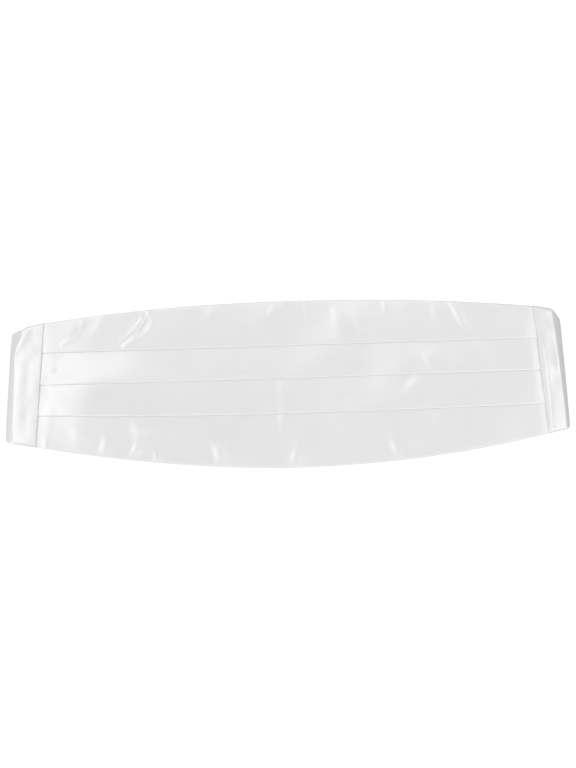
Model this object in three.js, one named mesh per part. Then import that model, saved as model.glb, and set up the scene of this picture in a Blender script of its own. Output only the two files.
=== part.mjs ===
import * as THREE from "three";

const { degToRad, lerp, smoothstep } = THREE.MathUtils;

// A cummerbund, closed by its clasp and laid on its back with the pleated front up, in millimetres.
// +X runs along the band, +Y points to its upper edge and +Z up. Each end tab is a flat sleeve: its
// mouth takes the ends of the pleats, it folds under the front, and its tail takes one half of the strap.

// Cloth and clearances
const CLOTH = 1;
const GAP = 0.3;
const LAYER = CLOTH + GAP;

// Pleated front: one sheet of satin in knife pleats, each lying over the next one down
const PANEL_LENGTH = 381;
const PANEL_END_HEIGHT = 93;
const PANEL_MIDDLE_HEIGHT = 127;
const PLEAT_UNDERLAP = 10;
const HEM = 7;
const PANEL_TUCK = 6;
const SEAM_LEAN = degToRad(5.5);
const EDGE_DROOP = 1.5;
const CREASE_HEIGHT = 1.2;
const BULGE_POWER = 2.1;
const PLEAT_PUFF = 0.5;

// End tabs
const TAB_LENGTH = 95;
const FOLD_HEIGHT = 16;
const LEFT_TAB_REACH = 24;
const RIGHT_TAB_REACH = 19;
const POCKET_CLOSED = 0.4;
const POCKET_TAPER = 8;
const TAB_BOW = 0.06;

// Strap and clasp
const STRAP_WIDTH = 32;
const STRAP_THICKNESS = 1.2;
const STRAP_INSERT = 18;
const STRAP_RETURN = 18;
const STRAP_RAMP = 10;
const STRAP_RISE = 0.4;
const CLASP_THICKNESS = 1.6;
const CLASP_BAR = 3;
const CLASP_SLOT = 5;
const CLASP_WEB = 8;
const CLASP_RIM = 3;
const CLASP_CORNER = 2;
const SLOT_CORNER = 0.5;
const SLOT_PLAY = 0.8;

// How finely the soft pieces are divided
const PANEL_STEPS = 34;
const TAB_STEPS = 30;
const STRAP_STEPS = 2;
const BEND_STEPS = 3;
const TAB_COLUMNS = 6;

// The panel's edges and the folds of its pleats, from the top down. At a seam a line lies at seamShare of
// PANEL_END_HEIGHT above the middle, and it bows by bowShare of what the panel gains in height.
const PANEL_LINES = [
  { name: "top_edge", seamShare: 0.5, bowShare: 0.34 },
  { name: "first_fold", seamShare: 0.262, bowShare: 0 },
  { name: "second_fold", seamShare: -0.005, bowShare: 0 },
  { name: "third_fold", seamShare: -0.262, bowShare: -0.09 },
  { name: "bottom_edge", seamShare: -0.5, bowShare: -0.66 },
];

// Where the panel is divided along its length: finer at the left, where its creases are
const PANEL_STATIONS = [
  { steps: 0, along: -1 },
  { steps: 0.42, along: -0.48 },
  { steps: 1, along: 1 },
];

// Creases pressed into the front. along is a share of half the panel's length and across a share of its
// half height at the middle; length and width are shares of PANEL_END_HEIGHT, rise of CREASE_HEIGHT.
const CREASES = [
  { along: -0.59, across: 0.66, length: 0.3, width: 0.075, turn: 62, rise: 1 },
  { along: -0.84, across: 0.6, length: 0.26, width: 0.06, turn: 48, rise: 0.7 },
  { along: -0.3, across: -0.9, length: 0.18, width: 0.07, turn: 105, rise: 0.6 },
  { along: 0.01, across: -0.92, length: 0.2, width: 0.07, turn: 70, rise: 0.6 },
  { along: 0.67, across: 0.74, length: 0.24, width: 0.06, turn: 120, rise: 0.5 },
];

// Outline of a tab along its length: how far its top and bottom edges have come in, as shares of the
// whole way from its mouth to its tail.
const TAB_TAPER = [
  { along: 0, top: 0, bottom: 0 },
  { along: 0.1, top: 0.08, bottom: 0.035 },
  { along: 0.16, top: 0.13, bottom: 0.055 },
  { along: 0.22, top: 0.25, bottom: 0.09 },
  { along: 0.28, top: 0.34, bottom: 0.15 },
  { along: 0.4, top: 0.5, bottom: 0.36 },
  { along: 0.55, top: 0.74, bottom: 0.64 },
  { along: 0.72, top: 0.97, bottom: 0.95 },
  { along: 0.79, top: 1, bottom: 1 },
  { along: 1, top: 1, bottom: 1 },
];

const SIDES = [
  { name: "left", mirror: -1, reach: LEFT_TAB_REACH },
  { name: "right", mirror: 1, reach: RIGHT_TAB_REACH },
];

// Sizes that follow
const HALF_LENGTH = PANEL_LENGTH / 2;
const PLEAT_STACK = 3 * CLOTH + 2 * GAP;
const MOUTH_POCKET = PLEAT_STACK + 2 * GAP;
const STRAP_POCKET = STRAP_THICKNESS + 2 * GAP;
const MOUTH_HALF = PANEL_END_HEIGHT / 2 + LAYER;
const TAIL_HALF = STRAP_WIDTH / 2 + LAYER;
const FOLD_RADIUS = FOLD_HEIGHT / 2;
const CLASP_CENTRE = STRAP_THICKNESS + GAP + CLASP_THICKNESS / 2;
const LOOP_RADIUS = CLASP_THICKNESS / 2 + GAP + STRAP_THICKNESS / 2;
const PANEL_BASE_MIDDLE = CLASP_CENTRE + LOOP_RADIUS + STRAP_THICKNESS / 2 + GAP;
const PANEL_BASE_END = FOLD_HEIGHT - CLOTH - GAP - PLEAT_STACK;
const BAR_INNER = CLASP_WEB / 2 + CLASP_SLOT;
const BAR_OUTER = BAR_INNER + CLASP_BAR;
const CLASP_LEVEL = -(HALF_LENGTH / 2) * Math.tan(SEAM_LEAN);

const MATERIALS = {
  satin: new THREE.MeshStandardMaterial({ color: 0xe6e6e6, roughness: 0.35 }),
  webbing: new THREE.MeshStandardMaterial({ color: 0xe2e2e0, roughness: 0.8 }),
  metal: new THREE.MeshStandardMaterial({ color: 0xc8c8c8, roughness: 0.3, metalness: 1 }),
};

// Reads a table's column at a place along it, in a straight line between its rows.
function column(table, key, value, name) {
  const next = Math.max(1, table.findIndex((row) => row[key] >= value));
  const [before, after] = [table[next - 1], table[next]];
  return lerp(before[name], after[name], (value - before[key]) / (after[key] - before[key]));
}

// Adds a run to a centreline that is being drawn, rising by puff above a straight line at its middle.
function addRun(line, x, y, steps = 1, puff = 0) {
  const from = line.at(-1);
  for (let i = 1; i <= steps; i++) {
    const share = i / steps;
    const rise = 4 * puff * share * (1 - share);
    line.push(new THREE.Vector2(lerp(from.x, x, share), lerp(from.y, y, share) + rise));
  }
}

// Adds a half turn about a centre, from the angle start through the angle sweep.
function addTurn(line, x, y, radius, start, sweep) {
  for (let i = 0; i <= BEND_STEPS; i++) {
    const angle = start + (sweep * i) / BEND_STEPS;
    line.push(new THREE.Vector2(x + radius * Math.cos(angle), y + radius * Math.sin(angle)));
  }
}

// The outline of a strip of even thickness that follows an open centreline.
function ribbonShape(line, thickness) {
  const directions = line.slice(1).map((point, i) => point.clone().sub(line[i]).normalize());
  const offsets = line.map((point, i) => {
    const before = directions[Math.max(i - 1, 0)];
    const after = directions[Math.min(i, directions.length - 1)];
    const along = before.clone().add(after).normalize();
    return new THREE.Vector2(-along.y, along.x).multiplyScalar(thickness / 2 / along.dot(after));
  });
  const left = line.map((point, i) => point.clone().add(offsets[i]));
  const right = line.map((point, i) => point.clone().sub(offsets[i]));
  return new THREE.Shape([...left, ...right.reverse()]);
}

// Extrudes a section in even steps, then moves each vertex to place(x, y, share of the extrusion).
function extrudeAndPlace(shape, steps, place) {
  const geometry = new THREE.ExtrudeGeometry(shape, { depth: 1, steps, bevelEnabled: false });
  const position = geometry.getAttribute("position");
  for (let i = 0; i < position.count; i++) {
    position.setXYZ(i, ...place(position.getX(i), position.getY(i), position.getZ(i)));
  }
  geometry.computeVertexNormals();
  return geometry;
}

function namedMesh(name, geometry, material) {
  const mesh = new THREE.Mesh(geometry, material);
  mesh.name = name;
  return mesh;
}

// Half the height of a tab at a distance from its mouth, to its outer face. edge is "top" or "bottom".
function tabHalf(distance, edge) {
  return lerp(MOUTH_HALF, TAIL_HALF, column(TAB_TAPER, "along", distance / TAB_LENGTH, edge));
}

// Heights of the panel's lines at a share of the way from its middle to a seam. Past the seam they
// close in with the tab that holds them.
function panelLines(share, tucked) {
  const gain = PANEL_MIDDLE_HEIGHT - PANEL_END_HEIGHT;
  return PANEL_LINES.map(({ seamShare, bowShare }) => {
    const held = tabHalf(tucked, seamShare > 0 ? "top" : "bottom") - LAYER;
    const bow = gain * bowShare * (1 - share ** BULGE_POWER);
    return (seamShare * PANEL_END_HEIGHT + bow) * (held / (MOUTH_HALF - LAYER));
  });
}

// Between these heights the folded sheet stretches evenly; the hems and the underlaps keep their depth.
function panelKnots([top, ...rest]) {
  const bottom = rest.pop();
  const folds = rest.flatMap((fold) => [fold + PLEAT_UNDERLAP, fold]);
  return [top, top - HEM, ...folds, bottom + HEM, bottom];
}

const MIDDLE_KNOTS = panelKnots(panelLines(0, 0));

// Moves a height on the panel's middle section to where it lies on another section.
function spreadPleats(height, share, tucked) {
  const knots = panelKnots(panelLines(share, tucked));
  const found = MIDDLE_KNOTS.findIndex((knot) => height >= knot);
  const next = Math.min(Math.max(found, 1), knots.length - 1);
  const [high, low] = [MIDDLE_KNOTS[next - 1], MIDDLE_KNOTS[next]];
  return lerp(knots[next - 1], knots[next], (high - height) / (high - low));
}

// The folded sheet's centreline across the panel's middle section, from the upper hem to the lower one.
function pleatLine() {
  const radius = LAYER / 2;
  const inset = radius + CLOTH / 2;
  const level = (layer) => CLOTH / 2 + layer * LAYER;
  const [top, ...folds] = panelLines(0, 0);
  const bottom = folds.pop();

  const line = [new THREE.Vector2(top - HEM, level(0))];
  addTurn(line, top - inset, level(0) + radius, radius, -Math.PI / 2, Math.PI);
  folds.forEach((fold, i) => {
    addRun(line, fold + PLEAT_UNDERLAP, level(2), i === 0 ? 4 : 3, PLEAT_PUFF);
    addTurn(line, fold + inset, level(1) + radius, radius, Math.PI / 2, Math.PI);
    addTurn(line, fold + PLEAT_UNDERLAP - inset, level(0) + radius, radius, Math.PI / 2, -Math.PI);
    addRun(line, fold, level(0));
  });
  addRun(line, bottom + HEM, level(1), 5, PLEAT_PUFF);
  addTurn(line, bottom + inset, level(0) + radius, radius, Math.PI / 2, Math.PI);
  addRun(line, bottom + HEM, level(0));
  return line;
}

// How far the creases lift the front at a place on it.
function creaseLift(x, y) {
  return CREASES.reduce((lift, crease) => {
    const dx = x - crease.along * HALF_LENGTH;
    const dy = y - (crease.across * PANEL_MIDDLE_HEIGHT) / 2;
    const turn = degToRad(crease.turn);
    const along = (dx * Math.cos(turn) + dy * Math.sin(turn)) / (crease.length * PANEL_END_HEIGHT * 0.5);
    const aside = (dy * Math.cos(turn) - dx * Math.sin(turn)) / (crease.width * PANEL_END_HEIGHT);
    return lift + crease.rise * CREASE_HEIGHT * Math.exp(-(along ** 2) - aside ** 2);
  }, 0);
}

// The front hangs between the tabs and rests on the clasp, and its long edges droop.
function panelGeometry() {
  return extrudeAndPlace(ribbonShape(pleatLine(), CLOTH), PANEL_STEPS, (across, height, step) => {
    const station = column(PANEL_STATIONS, "steps", step, "along") * (HALF_LENGTH + PANEL_TUCK);
    const side = Math.sign(station);
    const reach = Math.min(Math.abs(station), HALF_LENGTH);
    const tucked = Math.abs(station) - reach;
    const share = reach / HALF_LENGTH;
    const lean = SEAM_LEAN * share;
    const y = spreadPleats(across, share, tucked);
    const droop = EDGE_DROOP * (1 - share ** 2) * (y / (PANEL_MIDDLE_HEIGHT / 2)) ** 2;
    const base = lerp(PANEL_BASE_MIDDLE, PANEL_BASE_END, smoothstep(share, 0, 1));
    const lift = creaseLift(station, y) * (1 - smoothstep(share, 0.9, 1));
    return [
      side * (reach + tucked * Math.cos(lean) - y * Math.sin(lean)),
      y * Math.cos(lean) + tucked * Math.sin(lean),
      base + height - droop + lift,
    ];
  });
}

// The section of a tab counts in walls. Across, 1 and 2 are the inner and outer ends of its edge folds.
// Upwards, 0 to 1 is the wall inside the loop, 1 to 2 the pocket and 2 to 3 the outer wall.
function tabShape() {
  const row = (level) =>
    Array.from({ length: TAB_COLUMNS }, (_, i) => {
      const across = lerp(-1, 1, i / (TAB_COLUMNS - 1));
      return new THREE.Vector2(across, level + TAB_BOW * (1 - across ** 2));
    });
  const fold = (side) => [new THREE.Vector2(2 * side, 1), new THREE.Vector2(2 * side, 2)];
  const shape = new THREE.Shape([...row(0), ...fold(1), ...row(3).reverse(), ...fold(-1).reverse()]);
  shape.holes.push(new THREE.Path([...row(1), ...row(2).reverse()]));
  return shape;
}

// Clear height inside a tab at a distance from its mouth.
function pocketAt(distance) {
  const mouth = 1 - smoothstep(distance, PANEL_TUCK + GAP, PANEL_TUCK + POCKET_TAPER);
  const strapStart = TAB_LENGTH - STRAP_INSERT - GAP;
  const tail = smoothstep(distance, strapStart - POCKET_TAPER, strapStart);
  return POCKET_CLOSED + (MOUTH_POCKET - POCKET_CLOSED) * mouth + (STRAP_POCKET - POCKET_CLOSED) * tail;
}

// The outer face of a tab at a distance from its mouth: out from the seam, round the fold and back.
function tabRoute(distance, reach) {
  const straight = reach - FOLD_RADIUS;
  const turn = Math.min(Math.max((distance - straight) / FOLD_RADIUS, 0), Math.PI);
  const back = Math.max(distance - straight - Math.PI * FOLD_RADIUS, 0);
  const normal = new THREE.Vector2(Math.sin(turn), Math.cos(turn));
  const x = Math.min(distance, straight) + FOLD_RADIUS * normal.x - back;
  return { point: new THREE.Vector2(x, FOLD_RADIUS * (1 + normal.y)), normal };
}

function tabGeometry(reach) {
  return extrudeAndPlace(tabShape(), TAB_STEPS, (across, level, step) => {
    const distance = step * TAB_LENGTH;
    const { point, normal } = tabRoute(distance, reach);
    const pocket = pocketAt(distance);
    const depth = (3 - level) * CLOTH + (pocket - CLOTH) * Math.min(Math.max(2 - level, 0), 1);
    const half = tabHalf(distance, across > 0 ? "top" : "bottom") - CLOTH;
    const past = Math.max(Math.abs(across) - 1, 0) * CLOTH;
    const y = Math.sign(across) * (half * Math.min(Math.abs(across), 1) + past);
    return [point.x - normal.x * depth, y, point.y - normal.y * depth];
  });
}

// The tab's tail, as a distance inwards from the seam.
function tailInset(reach) {
  const straight = reach - FOLD_RADIUS;
  return TAB_LENGTH - straight - Math.PI * FOLD_RADIUS - straight;
}

// Where the middle of the strap lies at a distance along X from the clasp, and its slope there: it
// leaves the tab square to the seam and turns gently to lie along X where it meets the clasp.
function strapRoute(x, tail) {
  const start = BAR_OUTER + STRAP_RETURN + STRAP_RAMP;
  const slope = Math.tan(SEAM_LEAN);
  if (x >= tail) return { y: (x - HALF_LENGTH) * slope, slope };
  const run = tail - start;
  const rise = (tail - HALF_LENGTH) * slope - CLASP_LEVEL;
  const t = Math.max(x - start, 0) / run;
  return {
    y: CLASP_LEVEL + rise * t ** 2 * (3 - 2 * t) + run * slope * t ** 2 * (t - 1),
    slope: (rise / run) * 6 * t * (1 - t) + slope * t * (3 * t - 2),
  };
}

// Half of the strap: from its sewn return, over and round the clasp's bar, along the floor and into the tab.
function strapGeometry(reach) {
  const tail = HALF_LENGTH - tailInset(reach) * Math.cos(SEAM_LEAN);
  const [floor, inTab] = [STRAP_THICKNESS / 2, CLOTH + GAP + STRAP_THICKNESS / 2];
  const onStrap = floor + STRAP_THICKNESS + GAP;
  const overBar = CLASP_CENTRE + LOOP_RADIUS;

  const line = [new THREE.Vector2(BAR_OUTER + STRAP_RETURN, onStrap)];
  addRun(line, BAR_OUTER + 2 * CLASP_BAR, onStrap);
  addRun(line, BAR_OUTER + GAP, overBar);
  addTurn(line, BAR_INNER, CLASP_CENTRE, LOOP_RADIUS, Math.PI / 2, Math.PI);
  addRun(line, tail - 1.4 * STRAP_RAMP, floor, 10, STRAP_RISE);
  addRun(line, tail - 0.4 * STRAP_RAMP, inTab);
  addRun(line, tail + STRAP_INSERT * Math.cos(SEAM_LEAN), inTab);
  return extrudeAndPlace(ribbonShape(line, STRAP_THICKNESS), STRAP_STEPS, (x, z, step) => {
    const { y, slope } = strapRoute(x, tail);
    const angle = Math.atan(slope);
    const aside = STRAP_WIDTH * (0.5 - step);
    return [x - aside * Math.sin(angle), y + aside * Math.cos(angle), z];
  });
}

// Draws a rectangle about the X axis, with rounded corners.
function roundedRectangle(path, left, right, half, corner) {
  const [inLeft, inRight, inHalf] = [left + corner, right - corner, half - corner];
  path.absarc(inRight, -inHalf, corner, -Math.PI / 2, 0);
  path.absarc(inRight, inHalf, corner, 0, Math.PI / 2);
  path.absarc(inLeft, inHalf, corner, Math.PI / 2, Math.PI);
  path.absarc(inLeft, -inHalf, corner, Math.PI, 1.5 * Math.PI);
  return path;
}

// A flat plate with a slot for each half of the strap.
function claspGeometry() {
  const slotHalf = STRAP_WIDTH / 2 + SLOT_PLAY;
  const slot = (left, right) => roundedRectangle(new THREE.Path(), left, right, slotHalf, SLOT_CORNER);
  const plateHalf = slotHalf + CLASP_RIM;
  const plate = roundedRectangle(new THREE.Shape(), -BAR_OUTER, BAR_OUTER, plateHalf, CLASP_CORNER);
  plate.holes.push(slot(-BAR_INNER, -CLASP_WEB / 2), slot(CLASP_WEB / 2, BAR_INNER));
  return new THREE.ExtrudeGeometry(plate, {
    depth: CLASP_THICKNESS,
    bevelEnabled: false,
    curveSegments: 4,
  });
}

// One end of the band: its tab, turned square to the leaning seam, and its half of the strap.
function makeSide({ name, mirror, reach }) {
  const side = new THREE.Group();
  side.scale.x = mirror;
  const seam = new THREE.Group();
  seam.position.x = HALF_LENGTH;
  seam.rotation.z = SEAM_LEAN;
  seam.add(namedMesh(`${name}_end_tab`, tabGeometry(reach), MATERIALS.satin));
  side.add(seam, namedMesh(`${name}_strap`, strapGeometry(reach), MATERIALS.webbing));
  return side;
}

function makeCummerbund() {
  const band = new THREE.Group();
  band.add(namedMesh("pleated_front", panelGeometry(), MATERIALS.satin));
  SIDES.forEach((side) => band.add(makeSide(side)));

  const clasp = namedMesh("clasp", claspGeometry(), MATERIALS.metal);
  clasp.position.set(0, CLASP_LEVEL, CLASP_CENTRE - CLASP_THICKNESS / 2);
  band.add(clasp);

  // The origin is where the middle of the band's box meets the floor.
  const box = new THREE.Box3().setFromObject(band, true);
  const middle = box.getCenter(new THREE.Vector3());
  band.position.set(-middle.x, -middle.y, -box.min.z);
  return new THREE.Group().add(band);
}

export default makeCummerbund();
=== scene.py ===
"""Dresses the cummerbund: satin, seams, strap and clasp, with its light and its camera.

The band is buckled and lies on its back with the pleated front up. Lengths are in metres, or in
millimetres where a table's name ends in MM. +X runs along the band and +Y points to its upper edge.
"""

import logging
import math
from dataclasses import dataclass, field, replace
from enum import Enum
from typing import Callable, Sequence

import bpy
import numpy as np
from mathutils import Matrix, Vector

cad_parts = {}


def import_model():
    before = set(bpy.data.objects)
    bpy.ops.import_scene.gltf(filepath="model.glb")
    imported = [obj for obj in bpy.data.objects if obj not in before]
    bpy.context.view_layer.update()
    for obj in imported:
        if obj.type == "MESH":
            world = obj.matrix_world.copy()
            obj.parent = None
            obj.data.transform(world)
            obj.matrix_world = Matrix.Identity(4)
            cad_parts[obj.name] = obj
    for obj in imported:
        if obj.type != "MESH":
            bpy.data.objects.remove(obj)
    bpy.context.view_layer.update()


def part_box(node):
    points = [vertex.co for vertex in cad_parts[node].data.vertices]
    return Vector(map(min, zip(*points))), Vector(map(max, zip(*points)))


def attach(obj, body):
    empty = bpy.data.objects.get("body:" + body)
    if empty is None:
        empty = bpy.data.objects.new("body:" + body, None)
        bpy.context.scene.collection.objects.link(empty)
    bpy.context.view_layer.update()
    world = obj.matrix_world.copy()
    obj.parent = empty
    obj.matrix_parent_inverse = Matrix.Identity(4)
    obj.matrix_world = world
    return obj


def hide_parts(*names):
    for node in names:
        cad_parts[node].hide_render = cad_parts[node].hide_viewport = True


# Millimetres, and the names that more than one piece uses
MM = 0.001
BODY = "root"
CLOTH_UV = "cloth"
# A crease's line has this many steps. At an end it keeps a share of its rise, and it fades out there
# within this many of its mean widths
CREASE_STEPS = 60
CREASE_END_FULLNESS = 0.35
CREASE_END_REACH = 1.2
# Angles of a section's turns
DOWN = -math.pi / 2
UP = math.pi / 2
HALF_TURN = math.pi
# The Mix node's sockets go by number, because it has one of each name for every type
MIX_FLOAT_A = 2
MIX_FLOAT_B = 3
MIX_COLOUR_A = 6
MIX_COLOUR_B = 7
MIX_COLOUR = 2
LOG = logging.getLogger("cummerbund")
Array = np.ndarray


class Side(Enum):
    """The two ends of the band, by the way each points along X."""

    LEFT = -1.0
    RIGHT = 1.0


class Slot(Enum):
    """The record's material slots."""

    SATIN = "satin"
    WEBBING = "webbing"
    METAL = "metal"


@dataclass(frozen=True)
class Crease:
    """A crease pressed into the cloth: a curve through three places, with two flanks, in millimetres.

    The steep flank lies to the right of the way from start to end, and the gentle one to its left.
    The crease is as high as its rise in the middle and lower at both ends.
    """

    start: tuple[float, float]
    middle: tuple[float, float]
    end: tuple[float, float]
    rise: float
    steep: float
    gentle: float

    def curve(self, share: Array) -> Array:
        """Draws its line.

        Args:
            share: Shares of the way from start to end, one to a row.

        Returns:
            The point at each share, in millimetres.
        """
        start, middle, end = (np.array(place) for place in (self.start, self.middle, self.end))
        bend = 2.0 * middle - 0.5 * (start + end)
        return (1 - share) ** 2 * start + 2 * share * (1 - share) * bend + share**2 * end

    def lift(self, x: Array, y: Array) -> Array:
        """Works out how far it lifts the cloth.

        Args:
            x: Places along the cloth, in metres.
            y: Places across the cloth, in metres.

        Returns:
            The lift at each place, in metres.
        """
        share = np.linspace(0.0, 1.0, CREASE_STEPS + 1)
        curve = self.curve(share[:, None])
        heading = np.gradient(curve, axis=0)
        heading /= np.linalg.norm(heading, axis=1, keepdims=True)
        dx = x[..., None] / MM - curve[:, 0]
        dy = y[..., None] / MM - curve[:, 1]
        nearest = np.argmin(dx**2 + dy**2, axis=-1)
        dx, dy = (np.take_along_axis(gap, nearest[..., None], -1)[..., 0] for gap in (dx, dy))
        along = dx * heading[nearest, 0] + dy * heading[nearest, 1]
        aside = dy * heading[nearest, 0] - dx * heading[nearest, 1]
        width = np.where(aside > 0, self.gentle, self.steep)
        middle = np.sin(np.pi * share[nearest]) ** 2
        fullness = CREASE_END_FULLNESS + (1.0 - CREASE_END_FULLNESS) * middle
        reach = CREASE_END_REACH * math.sqrt(self.gentle * self.steep)
        at_end = (nearest == 0) | (nearest == CREASE_STEPS)
        past_end = np.where(at_end, np.exp(-((along / reach) ** 2)), 1.0)
        return self.rise * MM * fullness * past_end * np.exp(-((aside / width) ** 2))


# Each crease's start, middle and end, its rise, and the widths of its steep and its gentle flank.
# The front's rows are the broad swells and long creases of its left end, then the puckers along the
# lower hem, the upper hem and the folds, measured from the middle between the seams
FRONT_CREASES_MM = (
    Crease((-200.0, -5.0), (-155.0, -3.5), (-112.0, -4.0), 3.6, 30.0, 18.0),
    Crease((-177.5, 14.0), (-176.6, 9.5), (-175.0, 4.0), -0.45, 5.0, 5.0),
    Crease((-184.0, -6.0), (-176.0, -13.0), (-164.0, -24.0), 0.3, 4.5, 6.5),
    Crease((-186.0, 22.0), (-183.5, 12.0), (-189.0, 1.0), 0.5, 2.0, 5.0),
    Crease((-157.4, 48.5), (-161.2, 40.4), (-172.6, 31.2), 0.7, 0.7, 2.4),
    Crease((-159.4, 49.0), (-163.4, 41.0), (-175.2, 32.4), -0.2, 0.6, 0.8),
    Crease((-107.8, 53.8), (-109.8, 43.2), (-125.6, 28.4), 1.15, 0.7, 3.2),
    Crease((-109.6, 54.0), (-111.7, 43.8), (-127.2, 29.4), -0.2, 0.6, 0.8),
    Crease((-112.3, 54.0), (-114.3, 44.5), (-128.8, 31.5), 0.25, 1.2, 1.4),
    Crease((-140.0, 51.0), (-144.0, 45.0), (-150.0, 36.0), 0.34, 3.0, 5.5),
    Crease((-164.5, -31.0), (-163.0, -38.5), (-164.5, -46.0), 0.5, 4.6, 9.0),
    Crease((-140.9, -40.5), (-142.3, -47.0), (-145.6, -54.5), 0.6, 3.0, 7.5),
    Crease((-120.5, -26.0), (-117.0, -35.0), (-114.5, -44.0), 0.95, 5.0, 11.0),
    Crease((-118.3, -46.5), (-119.9, -51.3), (-125.5, -57.5), 0.6, 2.2, 5.0),
    Crease((-104.6, -52.5), (-104.0, -57.5), (-104.8, -62.5), 0.42, 1.8, 4.2),
    Crease((-60.8, -46.0), (-56.4, -55.5), (-56.2, -65.5), 0.85, 3.0, 7.0),
    Crease((4.6, -51.5), (2.0, -60.5), (-2.2, -68.0), 0.85, 3.0, 7.0),
    Crease((-4.0, -18.9), (-5.9, -30.5), (-5.5, -42.0), 0.62, 4.0, 9.0),
    Crease((76.8, -47.5), (78.5, -55.2), (82.5, -63.0), 0.65, 2.2, 5.0),
    Crease((-187.0, -41.0), (-188.0, -45.3), (-186.0, -48.8), 0.45, 1.3, 1.8),
    Crease((-59.2, 55.0), (-60.4, 51.1), (-62.5, 45.0), 0.36, 1.8, 4.4),
    Crease((-10.4, 57.0), (-13.4, 51.1), (-15.2, 46.5), 0.42, 1.2, 3.0),
    Crease((-4.4, 57.5), (-6.3, 53.9), (-8.2, 49.8), 0.4, 1.4, 3.4),
    Crease((13.0, 58.0), (13.5, 53.0), (14.2, 48.0), 0.35, 1.3, 1.7),
    Crease((33.2, 56.0), (36.5, 45.0), (36.9, 31.5), 0.5, 2.8, 7.5),
    Crease((46.0, 56.5), (52.5, 42.0), (64.0, 32.5), 0.36, 2.6, 6.5),
    Crease((73.6, 56.5), (73.4, 51.4), (74.8, 46.5), 0.45, 1.3, 1.7),
    Crease((110.2, 53.5), (111.4, 46.5), (114.8, 39.5), 0.4, 2.2, 5.0),
    Crease((122.6, 55.0), (128.0, 44.6), (134.8, 31.0), 0.85, 1.3, 3.4),
    Crease((99.5, 18.0), (105.7, 11.6), (109.0, 3.5), 0.6, 3.2, 6.5),
    Crease((136.5, 23.5), (143.2, 16.6), (146.0, 7.0), 0.5, 3.2, 7.0),
    Crease((189.0, 46.0), (192.4, 2.0), (198.4, -44.0), 1.1, 10.0, 2.8),
    Crease((-5.0, -1.8), (-6.8, -9.0), (-7.0, -17.5), 0.42, 3.6, 8.0),
    Crease((-23.5, -2.6), (-18.5, -8.0), (-11.5, -16.0), 0.36, 2.8, 6.0),
    Crease((99.2, -3.2), (92.9, -9.3), (86.6, -15.5), 0.62, 3.4, 8.0),
    Crease((64.0, -36.0), (68.0, -44.0), (73.0, -52.0), 0.14, 3.0, 5.0),
    Crease((112.0, -29.0), (111.5, -34.0), (112.5, -40.0), 0.3, 3.0, 5.0),
    Crease((12.0, -19.2), (38.0, -18.8), (76.0, -16.8), -0.12, 3.0, 4.0),
    Crease((-60.0, 3.2), (-38.0, 2.9), (-18.0, 2.4), -0.2, 1.6, 2.2),
)

# The dents and ridges of each tab's face, measured from the seam outwards and up
LEFT_TAB_CREASES_MM = (
    Crease((10.0, 45.0), (14.2, 35.0), (20.0, 24.0), 0.55, 2.6, 8.0),
    Crease((13.4, 26.0), (13.6, -5.0), (14.0, -45.0), 0.7, 13.0, 8.5),
    Crease((3.0, 28.0), (7.0, 33.0), (13.0, 33.0), -0.25, 2.6, 3.4),
    Crease((7.0, 22.0), (10.0, 12.0), (9.0, -6.0), -0.25, 3.6, 4.4),
    Crease((4.0, -14.0), (8.5, -22.0), (7.0, -36.0), -0.2, 3.0, 4.0),
    Crease((2.0, -45.0), (9.0, -44.2), (17.0, -43.5), 0.3, 1.2, 1.6),
)
RIGHT_TAB_CREASES_MM = (
    Crease((6.0, 44.0), (6.5, 4.0), (7.0, -30.0), 0.72, 6.0, 9.5),
    Crease((3.0, 37.0), (6.5, 34.5), (10.5, 30.5), -0.35, 1.8, 2.6),
    Crease((5.0, 44.5), (10.0, 43.0), (13.0, 42.0), 0.25, 1.4, 1.8),
    Crease((4.5, 11.0), (8.0, 6.0), (9.5, 2.0), -0.28, 2.2, 2.8),
    Crease((5.0, -4.0), (7.5, -7.5), (8.5, -12.0), -0.25, 2.0, 2.6),
    Crease((12.0, 30.0), (13.0, 10.0), (13.4, -12.0), 0.22, 2.4, 2.4),
    Crease((5.0, -16.0), (9.0, -20.0), (12.5, -26.0), 0.2, 2.4, 3.0),
    Crease((3.4, 20.0), (4.2, 0.0), (3.2, -45.0), -0.3, 0.7, 0.8),
    Crease((10.0, -42.5), (13.0, -43.5), (15.0, -45.0), -0.25, 1.4, 1.6),
)


def crease_field(x: Array, y: Array, creases: Sequence[Crease]) -> Array:
    """Works out how far a set of creases lifts the cloth.

    Args:
        x: Places along the cloth, in metres.
        y: Places across the cloth, in metres.
        creases: The creases that cross it.

    Returns:
        The lift at each place, in metres.
    """
    lift = np.zeros_like(x)
    for crease in creases:
        lift += crease.lift(x, y)
    return lift


@dataclass(frozen=True)
class Ripple:
    """Slow waves that handling leaves in pressed cloth, the same on each run."""

    seed: int
    height: float
    shortest: float
    longest: float
    waves: int = 14

    def lift(self, x: Array, y: Array) -> Array:
        """Works out how far the waves lift the cloth.

        Args:
            x: Places along the cloth.
            y: Places across the cloth.

        Returns:
            The lift at each place.
        """
        dice = np.random.default_rng(self.seed)
        total = np.zeros_like(x)
        for _ in range(self.waves):
            length = dice.uniform(self.shortest, self.longest)
            heading, phase = dice.uniform(0.0, 2 * math.pi, 2)
            along = x * math.cos(heading) + y * math.sin(heading)
            total += length / self.longest * np.sin(2 * math.pi * along / length + phase)
        return self.height * total / math.sqrt(self.waves)


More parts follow.
